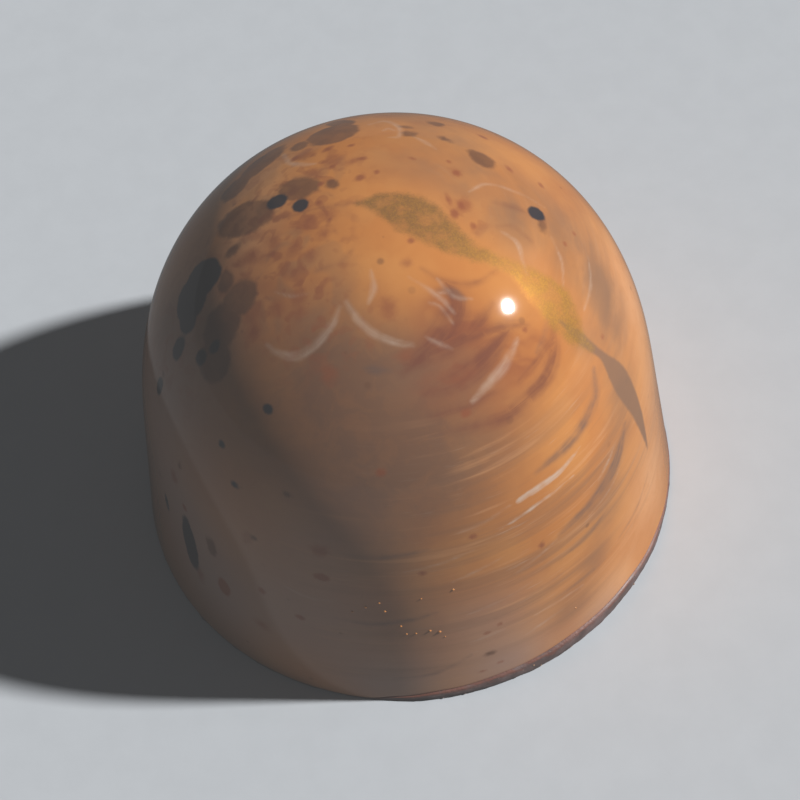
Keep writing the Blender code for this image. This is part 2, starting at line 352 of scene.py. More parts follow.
class PralineColours(bpy.types.PropertyGroup):
    """Colours of the paints and of the chocolate."""

    caramel: colour_property("Caramel", "The coat's main colour", (0.585, 0.220, 0.055))
    amber: colour_property("Amber", "The coat's brighter, yellower drift", (0.64, 0.262, 0.070))
    # Peach is painted light and painted reflection in the pale veils; in the brush marks it is paint.
    peach_and_painted_light: colour_property("Peach", "The coat's paler parts", (0.80, 0.40, 0.185))
    # Cocoa is painted shade, laid where shade falls on the front and left of the coat.
    cocoa: colour_property("Cocoa", "The coat's darker parts", (0.20, 0.098, 0.056))
    rust: colour_property("Rust", "Reddish clouds and specks", (0.29, 0.085, 0.035))
    maroon: colour_property("Maroon", "Dark red strokes", (0.19, 0.060, 0.035))
    brown: colour_property("Brown", "Drops of brown paint", (0.145, 0.062, 0.032))
    # Umber also darkens the brown veils, there partly as painted shade.
    umber: colour_property("Umber", "Brown haze, streaks and the gold stroke's tail", (0.235, 0.125, 0.072))
    slate: colour_property("Slate", "Dark strokes", (0.13, 0.090, 0.080))
    black: colour_property("Blue black", "Drops of the darkest paint", (0.026, 0.027, 0.036))
    # Painted reflection: the grey of the floor seen in the gloss, laid towards the foot.
    painted_reflection_grey: colour_property("Dusk", "Greyed paint towards the foot", (0.36, 0.29, 0.27))
    cream: colour_property("Cream", "Pale wisps", (0.66, 0.52, 0.42))
    gold: colour_property("Gold", "The stroke of gold flakes", (0.43, 0.215, 0.034))
    olive: colour_property("Olive", "The dimmer flakes between the gold ones", (0.215, 0.112, 0.040))
    chocolate: colour_property("Dark chocolate", "The closing layer", (0.085, 0.052, 0.048))
    bloom: colour_property("Bloom", "The paler scraped skin of the closing layer", (0.22, 0.15, 0.145))
    crumb: colour_property("Crumb", "Crumbs that stick to the rim", (0.42, 0.25, 0.15))


class PralineStage(bpy.types.PropertyGroup):
    """Camera, light and floor."""

    distance: size_property("Camera distance", "From the middle of the underside", 0.140)
    camera_height: angle_property("Camera height", "Above the horizon", 57.9)
    camera_roll: angle_property("Camera roll", "Turn about the line of sight", -7.4)
    aim_back: size_property("Aim", "Where the camera looks, behind the middle of the underside", 0.0044)
    lens: bpy.props.FloatProperty(name="Lens", description="Focal length", default=116.6, unit="CAMERA")
    sun_turn: angle_property("Key turn", "Where the key light stands, to the right of the front", 87.5)
    sun_height: angle_property("Key height", "Above the horizon", 39.5)
    sun_size: angle_property("Key size", "How wide the key light looks", 3.5)
    sun_strength: bpy.props.FloatProperty(name="Key strength", description="Irradiance", default=4.3)
    sky_strength: bpy.props.FloatProperty(name="Sky strength", description="Ambient light", default=0.045)
    sun_colour: colour_property("Key colour", "Colour of the key light", (1.0, 0.985, 0.96))
    sky_colour: colour_property("Sky colour", "Colour of the ambient light", (0.88, 0.94, 1.0))
    floor_colour: colour_property("Floor", "Colour of the floor", (0.545, 0.58, 0.625))
    floor_return: share_property("Floor return", "How much of its light the floor throws back up", 0.52)
    floor_mirrored: share_property("Floor mirrored", "How bright the floor looks in the coat", 0.23)
    haze: share_property("Haze", "How far the picture's darkest tones are lifted", 0.034)


# ---------------------------------------------------------------------------------------------------
# The dome's surface
# ---------------------------------------------------------------------------------------------------


class DomeSurface:
    """The dome's outline in mm, and places on it."""

    ROWS = 2400
    NORMAL_STEP = 0.02

    def __init__(self, shape):
        self.top = shape.height / MM
        self.foot = shape.foot_radius / MM
        self.shoulder = shape.shoulder / MM
        self.lean = shape.lean
        self.power = shape.crown_power
        quarter = np.linspace(math.pi / 2, 0, self.ROWS)
        crown = self.shoulder + (self.top - self.shoulder) * np.sin(quarter)
        side = np.linspace(self.shoulder, 0.0, self.ROWS // 3)[1:]
        self.heights = np.concatenate([crown, side])
        self.radii = self.radius_at(self.heights)
        steps = np.hypot(np.diff(self.radii), np.diff(self.heights))
        self.downs = np.concatenate([[0.0], np.cumsum(steps)])

    def radius_at(self, height):
        share = np.clip((height - self.shoulder) / (self.top - self.shoulder), 0.0, 1.0)
        return (self.foot - self.lean * height) * np.sqrt(np.clip(1.0 - share**self.power, 0.0, None))

    def down_at(self, height):
        return np.interp(-np.asarray(height, float), -self.heights, self.downs)

    def place(self, turn, down):
        """Points on the dome at turns in degrees and distances down from the crown."""
        radius = np.interp(down, self.downs, self.radii)
        height = np.interp(down, self.downs, self.heights)
        return on_circle(radius, turn, height)

    def outward(self, turn, down):
        """Unit normals at these places."""
        angle = np.radians(turn)
        above = np.maximum(down - self.NORMAL_STEP, 0.0)
        below = down + self.NORMAL_STEP
        across = np.interp(below, self.downs, self.radii) - np.interp(above, self.downs, self.radii)
        drop = np.interp(below, self.downs, self.heights) - np.interp(above, self.downs, self.heights)
        length = np.hypot(across, drop)
        side = -drop / length
        return np.stack([side * np.sin(angle), -side * np.cos(angle), across / length + 0 * angle], -1)


def round_the_dome(points, turn):
    """A smooth closed line through (turn, value) points, read at these turns."""
    turns = np.array([point[0] for point in points], float)
    values = np.array([point[1] for point in points], float)
    turns = np.concatenate([turns - 360, turns, turns + 360])
    values = np.tile(values, 3)
    turn = (np.asarray(turn, float) + 180) % 360 - 180
    after = np.searchsorted(turns, turn, side="right")
    before = after - 1
    share = (turn - turns[before]) / (turns[after] - turns[before])
    share = share * share * (3 - 2 * share)
    return values[before] * (1 - share) + values[after] * share


def drop_field(surface, points, drops):
    """How far each point lies inside the nearest drop, in mm, and below zero outside it."""
    field = np.full(len(points), FAR_OUTSIDE)
    for turn, down, half_length, half_width, lean in drops:
        middle = surface.place(turn, down)
        normal = surface.outward(turn, down)
        right = np.array([math.cos(math.radians(turn)), math.sin(math.radians(turn)), 0.0])
        below = np.cross(right, normal)
        apart = points - middle
        reach = max(half_length, half_width) - FAR_OUTSIDE
        near = np.flatnonzero((apart**2).sum(1) < reach**2)
        x = apart[near] @ right
        y = apart[near] @ below
        cos = math.cos(math.radians(lean))
        sin = math.sin(math.radians(lean))
        across = (x * cos - y * sin) / half_width
        along = (x * sin + y * cos) / half_length
        inside = (1 - np.hypot(across, along)) * min(half_length, half_width)
        field[near] = np.maximum(field[near], inside)
    return field


def smooth_line(values, steps):
    """A smooth line through rows of values, with this many steps between two rows."""
    rows = np.asarray(values, float)
    rows = np.vstack([2 * rows[0] - rows[1], rows, 2 * rows[-1] - rows[-2]])
    share = np.linspace(0, 1, steps, endpoint=False)[:, None]
    pieces = []
    for first in range(len(rows) - 3):
        a, b, c, d = rows[first : first + 4]
        curve = 2 * b + (c - a) * share + (2 * a - 5 * b + 4 * c - d) * share**2
        pieces.append(0.5 * (curve + (3 * b - a - 3 * c + d) * share**3))
    return np.vstack(pieces + [rows[-2:-1]])


def stroke_line(surface, stroke):
    """A stroke's middle line on the dome, and its half width there. It is smoothed on a flat plan."""
    plan = []
    for turn, down, half_width in stroke:
        angle = math.radians(turn)
        plan.append((down * math.sin(angle), down * math.cos(angle), half_width))
    plan = smooth_line(plan, STROKE_STEPS)
    turn = np.degrees(np.arctan2(plan[:, 0], plan[:, 1]))
    return surface.place(turn, np.hypot(plan[:, 0], plan[:, 1])), np.maximum(plan[:, 2], THINNEST_STROKE)


def stroke_field(surface, points, strokes):
    """How far each point lies inside the nearest stroke, in mm, and its place along and across it."""
    field = np.full(len(points), FAR_OUTSIDE)
    grain = np.zeros((len(points), 3))
    for number, stroke in enumerate(strokes):
        line, half_width = stroke_line(surface, stroke)
        heading = np.gradient(line, axis=0)
        heading /= np.linalg.norm(heading, axis=1, keepdims=True)
        travelled = np.concatenate([[0], np.cumsum(np.linalg.norm(np.diff(line, axis=0), axis=1))])
        reach = half_width.max() - FAR_OUTSIDE / 2
        inside_box = (points > line.min(0) - reach).all(1) & (points < line.max(0) + reach).all(1)
        near = np.flatnonzero(inside_box)
        apart = points[near][:, None, :] - line[None, :, :]
        closest = (apart**2).sum(2).argmin(1)
        offset = apart[np.arange(len(near)), closest]
        along = (offset * heading[closest]).sum(1)
        is_end = (closest == 0) | (closest == len(line) - 1)
        beyond = np.where(is_end, along, 0.0)
        across = np.sqrt(np.maximum((offset**2).sum(1) - along**2, 0.0))
        distance = np.hypot(across, beyond)
        inside = half_width[closest] - distance
        radial = points[near] / np.linalg.norm(points[near], axis=1, keepdims=True)
        side = np.sign((np.cross(heading[closest], radial) * offset).sum(1))
        better = inside > field[near]
        chosen = near[better]
        field[chosen] = inside[better]
        grain[chosen, 0] = (side * across)[better]
        grain[chosen, 1] = (travelled[closest] + along)[better]
        grain[chosen, 2] = number
    return np.maximum(field, FAR_OUTSIDE), grain


def veil_field(surface, points, veils):
    """How thick each veil lies on each point, from 0 to 1."""
    clear = np.ones(len(points))
    for turn, down, radius, amount in veils:
        distance = ((points - surface.place(turn, down)) ** 2).sum(1)
        clear *= 1 - amount * np.exp(-distance / radius**2)
    return 1 - clear


# ---------------------------------------------------------------------------------------------------
# Meshes
# ---------------------------------------------------------------------------------------------------


def ring_faces(rows, columns):
    """Four-sided faces between rings of points, all the way round."""
    row, column = np.meshgrid(np.arange(rows - 1), np.arange(columns), indexing="ij")
    after = (column + 1) % columns
    corners = [row * columns + column, (row + 1) * columns + column]
    corners += [(row + 1) * columns + after, row * columns + after]
    return np.stack(corners, -1).reshape(-1, 4)


def turned_mesh(name, rings, first, last):
    """A closed mesh from rings of points in mm, with a single point before the first and after the last."""
    rows, columns = rings.shape[:2]
    points = np.vstack([rings.reshape(-1, 3), first, last])
    start = rows * columns
    column = np.arange(columns)
    after = (column + 1) % columns
    top_fan = np.stack([np.full(columns, start), column, after], -1)
    foot = (rows - 1) * columns
    bottom_fan = np.stack([np.full(columns, start + 1), foot + after, foot + column], -1)
    faces = ring_faces(rows, columns).tolist() + top_fan.tolist() + bottom_fan.tolist()
    mesh = bpy.data.meshes.new(name)
    mesh.from_pydata((points * MM).tolist(), [], faces)
    mesh.validate()
    mesh.shade_smooth()
    return mesh, points


def on_circle(radius, turn, height):
    """Points at turns in degrees to the right of the front."""
    angle = np.radians(turn)
    return np.stack([radius * np.sin(angle), -radius * np.cos(angle), height + 0 * angle], -1)


def finished_mesh(name, build):
    """A smooth mesh from a bmesh that is no longer needed."""
    mesh = bpy.data.meshes.new(name)
    build.to_mesh(mesh)
    build.free()
    mesh.shade_smooth()
    return mesh


def store_numbers(mesh, name, values):
    """Keeps one number for each point of the mesh."""
    layer = mesh.attributes.new(name, "FLOAT", "POINT")
    layer.data.foreach_set("value", np.asarray(values, np.float32))


def store_vectors(mesh, name, values):
    """Keeps one vector for each point of the mesh."""
    layer = mesh.attributes.new(name, "FLOAT_VECTOR", "POINT")
    layer.data.foreach_set("vector", np.asarray(values, np.float32).ravel())


def add_piece(name, mesh, material):
    """Puts a piece in the scene, on the praline's body and with its material slot."""
    piece = bpy.data.objects.new(name, mesh)
    bpy.context.scene.collection.objects.link(piece)
    mesh.materials.append(material)
    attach(piece, BODY)
    return piece


# ---------------------------------------------------------------------------------------------------
# Materials
# ---------------------------------------------------------------------------------------------------


class NodeBench:
    """Builds a material's nodes, with short calls for those that recur."""

    def __init__(self, name):
        self.material = bpy.data.materials.new(name)
        self.material.use_nodes = True
        self.tree = self.material.node_tree
        self.surface = self.tree.nodes["Principled BSDF"]
        self.column = 0

    def node(self, kind, **settings):
        made = self.tree.nodes.new(kind)
        self.column += 1
        made.location = (-200 * (self.column % 9) - 250, -220 * (self.column // 9))
        for key, value in settings.items():
            setattr(made, key, value)
        return made

    def feed(self, socket, value):
        if isinstance(value, bpy.types.NodeSocket):
            self.tree.links.new(value, socket)
        else:
            socket.default_value = value

    def place_in_mm(self):
        coordinates = self.node("ShaderNodeTexCoord")
        scaled = self.node("ShaderNodeVectorMath", operation="SCALE")
        self.feed(scaled.inputs[0], coordinates.outputs["Object"])
        scaled.inputs["Scale"].default_value = 1 / MM
        return scaled.outputs[0]

    def attribute(self, name, output="Fac"):
        return self.node("ShaderNodeAttribute", attribute_name=name).outputs[output]

    def maths(self, operation, first, second=0.0, clamp=False):
        made = self.node("ShaderNodeMath", operation=operation, use_clamp=clamp)
        self.feed(made.inputs[0], first)
        self.feed(made.inputs[1], second)
        return made.outputs[0]

    def vector_maths(self, operation, first, second):
        made = self.node("ShaderNodeVectorMath", operation=operation)
        self.feed(made.inputs[0], first)
        self.feed(made.inputs[1], second)
        return made.outputs[0]

    def stretched(self, vector, scale, tilt=(0.0, 0.0, 0.0)):
        made = self.node("ShaderNodeMapping", vector_type="POINT")
        self.feed(made.inputs["Vector"], vector)
        made.inputs["Rotation"].default_value = tilt
        made.inputs["Scale"].default_value = scale
        return made.outputs[0]

    def noise(self, vector, scale, detail=2.0, roughness=0.5, distortion=0.0, output="Fac"):
        made = self.node("ShaderNodeTexNoise")
        self.feed(made.inputs["Vector"], vector)
        made.inputs["Scale"].default_value = scale
        made.inputs["Detail"].default_value = detail
        made.inputs["Roughness"].default_value = roughness
        made.inputs["Distortion"].default_value = distortion
        return made.outputs[output]

    def cells(self, vector, scale, output="Distance"):
        made = self.node("ShaderNodeTexVoronoi")
        self.feed(made.inputs["Vector"], vector)
        made.inputs["Scale"].default_value = scale
        return made.outputs[output]

    def between(self, value, low, high, to_low=0.0, to_high=1.0):
        """Maps low..high to to_low..to_high in a soft step, and holds it there beyond."""
        made = self.node("ShaderNodeMapRange", clamp=True, interpolation_type="SMOOTHSTEP")
        self.feed(made.inputs["Value"], value)
        made.inputs["From Min"].default_value = low
        made.inputs["From Max"].default_value = high
        made.inputs["To Min"].default_value = to_low
        made.inputs["To Max"].default_value = to_high
        return made.outputs["Result"]

    def mix(self, share, below, above, blend="MIX"):
        made = self.node("ShaderNodeMix", data_type="RGBA", blend_type=blend)
        self.feed(made.inputs[0], share)
        self.feed(made.inputs[6], below if isinstance(below, bpy.types.NodeSocket) else (*below, 1.0))
        self.feed(made.inputs[7], above if isinstance(above, bpy.types.NodeSocket) else (*above, 1.0))
        return made.outputs[2]

    def product(self, first, *others):
        for other in others:
            first = self.maths("MULTIPLY", first, other)
        return first

    def bump(self, height, distance, strength=1.0, normal=None):
        made = self.node("ShaderNodeBump")
        self.feed(made.inputs["Height"], height)
        made.inputs["Distance"].default_value = distance
        made.inputs["Strength"].default_value = strength
        if normal is not None:
            self.feed(made.inputs["Normal"], normal)
        return made.outputs[0]


def ground_coat(bench, colours, place, stirred):
    """The caramel ground with its drifts, its painted light, its painted shade, its greying by painted
    reflection, and long brush marks.
    """
    broad = bench.noise(stirred, 0.3, 3.0, 0.5)
    ground = bench.mix(bench.between(broad, 0.35, 0.68), colours.caramel, colours.amber)
    cloud = bench.noise(stirred, 0.8, 5.0, 0.6, 0.3)
    # Painted light and painted reflection, from the pale veils.
    pale = bench.product(bench.attribute("painted_light_veil"), bench.between(cloud, 0.25, 0.6, 0.6, 1.0))
    ground = bench.mix(pale, ground, colours.peach_and_painted_light)
    # Painted shade on the front and left of the coat.
    shade = bench.product(bench.attribute("painted_shade_veil"), bench.between(cloud, 0.3, 0.65, 0.90, 1.06))
    ground = bench.mix(bench.maths("MINIMUM", shade, 0.95), ground, colours.cocoa)
    # Painted reflection of the floor, greying the coat towards the foot.
    ground = bench.mix(bench.attribute("painted_reflection_veil"), ground, colours.painted_reflection_grey)

    # Brush marks lie in tilted planes: wide bands, narrower marks and hairs, each in patches.
    tilted = bench.stretched(place, (0.07, 0.07, 1.0), (math.radians(-12), math.radians(-17), 0.0))
    bands = bench.noise(tilted, 0.75, 3.0, 0.55)
    marks = bench.noise(tilted, 2.0, 3.0, 0.55)
    hairs = bench.noise(bench.stretched(tilted, (0.7, 0.7, 1.0)), 8.0, 3.0, 0.6)
    streaked = bench.attribute("streaked")
    patches = bench.between(bench.noise(place, 0.55, 2.0, 0.5), 0.42, 0.62)
    for pattern, thin, thick, where, most, colour in (
        (bands, 0.48, 0.68, streaked, 0.52, colours.umber),
        (marks, 0.55, 0.76, streaked, 0.34, colours.umber),
        (marks, 0.46, 0.28, streaked, 0.42, colours.peach_and_painted_light),
        (hairs, 0.58, 0.76, bench.product(streaked, patches), 0.32, colours.cream),
        (hairs, 0.42, 0.28, streaked, 0.08, colours.brown),
    ):
        cover = bench.product(bench.between(pattern, thin, thick), where, most)
        ground = bench.mix(cover, ground, colour)
    return ground


def clouds(bench, colours, ground, place, stirred):
    """Brown and red paint that ran into the ground, the brown partly painted shade, soft blotches and a few
    dots.
    """
    smoke = bench.noise(bench.stretched(place, (0.4, 0.4, 1.0)), 0.8, 3.0, 0.5)
    # Brown paint, and partly painted shade where the coat lies in shade.
    brown = bench.product(bench.attribute("brown_and_shade_veil"), bench.between(smoke, 0.30, 0.65, 0.55, 1.05))
    ground = bench.mix(bench.maths("MINIMUM", brown, 0.92), ground, colours.umber)
    swirls = bench.noise(bench.stretched(stirred, (0.5, 1.0, 1.0), (0.5, 0.0, 0.6)), 0.8, 2.0, 0.5, 0.2)
    red = bench.product(bench.attribute("red_veil"), bench.between(swirls, 0.34, 0.66, 0.50, 1.05))
    ground = bench.mix(bench.maths("MINIMUM", red, 0.85), ground, colours.rust)

    # Soft round blotches in three sizes, from the largest down.
    mottled = bench.attribute("mottled")
    for pattern, thin, thick, most, colour in (
        (bench.noise(place, 0.62, 2.0, 0.45, 0.4), 0.50, 0.66, 0.42, colours.umber),
        (bench.noise(place, 1.15, 1.0, 0.40, 0.5), 0.54, 0.68, 0.58, colours.rust),
        (bench.noise(place, 2.3, 0.5, 0.40), 0.58, 0.70, 0.34, colours.rust),
    ):
        cover = bench.product(bench.between(pattern, thin, thick), mottled, most)
        ground = bench.mix(cover, ground, colour)

    # A soft dot in some of the cells, each with its own size and depth.
    cell = bench.node("ShaderNodeSeparateColor")
    bench.feed(cell.inputs[0], bench.cells(place, 0.8, "Color"))
    size = bench.maths("MULTIPLY", cell.outputs[0], 0.16)
    inside = bench.maths("SUBTRACT", size, bench.cells(place, 0.8))
    depth = bench.between(cell.outputs[1], 0.55, 1.0, 0.0, 0.5)
    return bench.mix(bench.product(bench.between(inside, -0.06, 0.06), depth), ground, colours.brown)


def laid_paint(bench, ground, name, colour, rough_edge, ragged, fade, most, worn=1.0):
    """Drops or strokes of one paint. It starts and is full at the two fades, in mm inside its edge."""
    inside = bench.maths("ADD", bench.attribute(name), bench.maths("MULTIPLY", rough_edge, ragged))
    cover = bench.maths("MULTIPLY", bench.between(inside, *fade, 0.0, most), worn)
    return bench.mix(cover, ground, colour)


def brushed_strokes(bench, ground, name, colour, rough_edge, softness, most):
    """Soft, fibrous strokes of one paint, which thin out over a softness in mm at their edges."""
    grain = bench.attribute(name + "_grain", "Vector")
    fibres = bench.noise(bench.stretched(grain, (3.6, 0.30, 3.7)), 1.0, 3.0, 0.5)
    worn = bench.noise(bench.stretched(grain, (1.0, 0.8, 2.3)), 1.0, 2.0, 0.5)
    body = bench.maths("ADD", bench.attribute(name), bench.maths("MULTIPLY", rough_edge, 0.5))
    cover = bench.product(
        bench.between(body, -0.5 * softness, softness, 0.0, most),
        bench.between(fibres, 0.32, 0.62, 0.55, 1.0),
        bench.between(worn, 0.30, 0.62, 0.45, 1.0),
    )
    return bench.mix(cover, ground, colour)


def gold_leaf(bench, colours, ground, place, rough_edge):
    """A thin stroke of olive gold with fine flakes, brighter down the dome as a painted highlight towards
    the key light's glint, and how thick it lies.
    """
    flake = bench.node("ShaderNodeSeparateColor")
    bench.feed(flake.inputs[0], bench.cells(place, 15.0, "Color"))
    spray = bench.maths("MULTIPLY", bench.maths("SUBTRACT", flake.outputs[0], 0.5), 0.11)
    edge = bench.maths("ADD", bench.attribute("gold_stroke"), spray)
    edge = bench.maths("ADD", edge, bench.maths("MULTIPLY", rough_edge, 1.0))
    clumps = bench.between(bench.noise(place, 1.5, 3.0, 0.55), 0.32, 0.62, 0.55, 1.0)
    cover = bench.product(bench.between(edge, -0.20, 0.34, 0.0, 0.80), clumps)
    travelled = bench.node("ShaderNodeSeparateXYZ")
    bench.feed(travelled.inputs[0], bench.attribute("gold_stroke_grain", "Vector"))
    # Painted highlight: the flakes are made brighter down the dome, towards where the key light's glint
    # falls.
    brighter = bench.between(travelled.outputs[1], 3.0, 10.0, 0.22, 0.72)
    sparkle = bench.between(flake.outputs[1], 0.2, 1.0, -0.10, 0.28)
    tone = bench.mix(bench.maths("ADD", brighter, sparkle, clamp=True), colours.olive, colours.gold)
    return bench.mix(cover, ground, tone), cover


def painted_coat(colours):
    """Glossy moulded cocoa butter, with every paint layer from the caramel ground up to the drops."""
    bench = NodeBench("painted_coat")
    place = bench.place_in_mm()
    drift = bench.noise(place, 0.22, 3.0, 0.55, output="Color")
    drift = bench.vector_maths("SUBTRACT", drift, (0.5, 0.5, 0.5))
    stirred = bench.vector_maths("ADD", place, bench.vector_maths("MULTIPLY", drift, (3.0, 3.0, 3.0)))
    ground = ground_coat(bench, colours, place, stirred)
    ground = clouds(bench, colours, ground, place, stirred)

    rough_edge = bench.maths("SUBTRACT", bench.noise(place, 1.7, 3.0, 0.55), 0.5)
    rough_edge = bench.maths("MULTIPLY", rough_edge, 0.40)
    worn = bench.between(bench.noise(place, 0.9, 3.0, 0.5), 0.35, 0.65, 0.82, 1.0)
    ground = laid_paint(bench, ground, "smudges", colours.rust, rough_edge, 1.6, (-0.30, 0.30), 0.62)
    ground = laid_paint(
        bench, ground, "brown_drops", colours.brown, rough_edge, 1.0, (-0.14, 0.14), 0.83, worn
    )
    ground = brushed_strokes(bench, ground, "red_strokes", colours.maroon, rough_edge, 0.45, 0.84)
    ground = brushed_strokes(bench, ground, "dark_strokes", colours.slate, rough_edge, 0.36, 0.72)
    ground = brushed_strokes(bench, ground, "pale_strokes", colours.cream, rough_edge, 0.22, 0.42)
    ground = brushed_strokes(bench, ground, "bright_strokes", colours.cream, rough_edge, 0.12, 0.90)
    ground = laid_paint(bench, ground, "rust_drops", colours.rust, rough_edge, 0.5, (-0.12, 0.10), 0.80)
    ground = laid_paint(bench, ground, "tail_stroke", colours.umber, rough_edge, 0.3, (-0.08, 0.14), 0.86)
    ground, gold = gold_leaf(bench, colours, ground, place, rough_edge)
    ground = laid_paint(bench, ground, "black_drops", colours.black, rough_edge, 0.5, (-0.10, 0.08), 0.96)

    surface = bench.surface
    bench.feed(surface.inputs["Base Color"], ground)
    bench.feed(surface.inputs["Metallic"], bench.maths("MULTIPLY", gold, 0.18))
    polish = bench.bump(bench.noise(place, 0.9, 2.0, 0.5), 0.00001, 0.4)
    bench.feed(surface.inputs["Normal"], polish)
    bench.feed(surface.inputs["Coat Normal"], polish)
    bench.feed(surface.inputs["Roughness"], bench.between(bench.noise(place, 0.5), 0.2, 0.8, 0.34, 0.48))
    surface.inputs["IOR"].default_value = 1.46
    surface.inputs["Specular IOR Level"].default_value = 0.0
    surface.inputs["Coat Weight"].default_value = 1.0
    surface.inputs["Coat Roughness"].default_value = 0.075
    surface.inputs["Coat IOR"].default_value = 1.40
    return bench.material


def pale_beads(colours):
    """Small glossy beads of paler cocoa butter."""
    bench = NodeBench("pale_beads")
    tone = bench.between(bench.noise(bench.place_in_mm(), 4.0, 2.0), 0.35, 0.65)
    bench.feed(bench.surface.inputs["Base Color"], bench.mix(tone, colours.amber, colours.caramel))
    bench.surface.inputs["Roughness"].default_value = 0.4
    bench.surface.inputs["Coat Weight"].default_value = 0.6
    bench.surface.inputs["Coat Roughness"].default_value = 0.15
    return bench.material


def crumb_mix(colours):
    """Dry crumbs, some of dark chocolate and some of the paint."""
    bench = NodeBench("crumb_mix")
    place = bench.place_in_mm()
    kind = bench.between(bench.noise(place, 1.3, 2.0), 0.48, 0.56)
    bench.feed(bench.surface.inputs["Base Color"], bench.mix(kind, colours.bloom, colours.crumb))
    dryness = bench.between(bench.noise(place, 9.0), 0.3, 0.7, 0.5, 0.8)
    bench.feed(bench.surface.inputs["Roughness"], dryness)
    return bench.material


def dark_layer(colours):
    """Dark chocolate with a scraped, slightly bloomed edge."""
    bench = NodeBench("dark_chocolate")
    place = bench.place_in_mm()
    cloud = bench.noise(place, 1.1, 5.0, 0.6)
    scraped = bench.noise(bench.stretched(place, (1.0, 1.0, 9.0)), 1.4, 5.0, 0.65)
    tone = bench.mix(bench.between(cloud, 0.3, 0.7, 0.1, 0.7), colours.chocolate, colours.bloom)
    tone = bench.mix(bench.between(scraped, 0.55, 0.75, 0.0, 0.5), tone, colours.bloom)
    wavering = bench.between(scraped, 0.3, 0.7, -0.2, 0.2)
    thinned = bench.maths("ADD", bench.attribute("under_paint"), wavering)
    tone = bench.mix(bench.between(thinned, 0.75, 1.05, 0.0, 0.80), tone, colours.maroon)
    grains = bench.noise(place, 7.0, 3.0, 0.6)
    bench.feed(bench.surface.inputs["Base Color"], tone)
    bench.feed(bench.surface.inputs["Roughness"], bench.between(cloud, 0.2, 0.8, 0.42, 0.62))
    rough = bench.bump(grains, 0.00004, 0.6)
    bench.feed(bench.surface.inputs["Normal"], bench.bump(scraped, 0.00005, 0.5, rough))
    bench.surface.inputs["Coat Weight"].default_value = 0.15
    bench.surface.inputs["Coat Roughness"].default_value = 0.3
    return bench.material


def pale_floor(stage):
    """A plain pale table top with a hint of grain, which throws little light back up."""
    bench = NodeBench("pale_floor")
    grain = bench.noise(bench.place_in_mm(), 0.5, 6.0, 0.6)
    dim = tuple(0.97 * channel for channel in stage.floor_colour)
    tone = bench.mix(bench.between(grain, 0.3, 0.7), tuple(stage.floor_colour), dim)
    ray = bench.node("ShaderNodeLightPath")
    thrown_back = tuple(stage.floor_return * channel for channel in stage.floor_colour)
    mirrored = tuple(stage.floor_mirrored * channel for channel in stage.floor_colour)
    unseen = bench.mix(ray.outputs["Is Glossy Ray"], thrown_back, mirrored)
    bench.feed(bench.surface.inputs["Base Color"], bench.mix(ray.outputs["Is Camera Ray"], unseen, tone))
    bench.surface.inputs["Roughness"].default_value = 0.6
    bench.surface.inputs["Specular IOR Level"].default_value = 0.2
    bench.feed(bench.surface.inputs["Normal"], bench.bump(grain, 0.00002, 0.3))
    return bench.material


# ---------------------------------------------------------------------------------------------------
# Operators
# ---------------------------------------------------------------------------------------------------


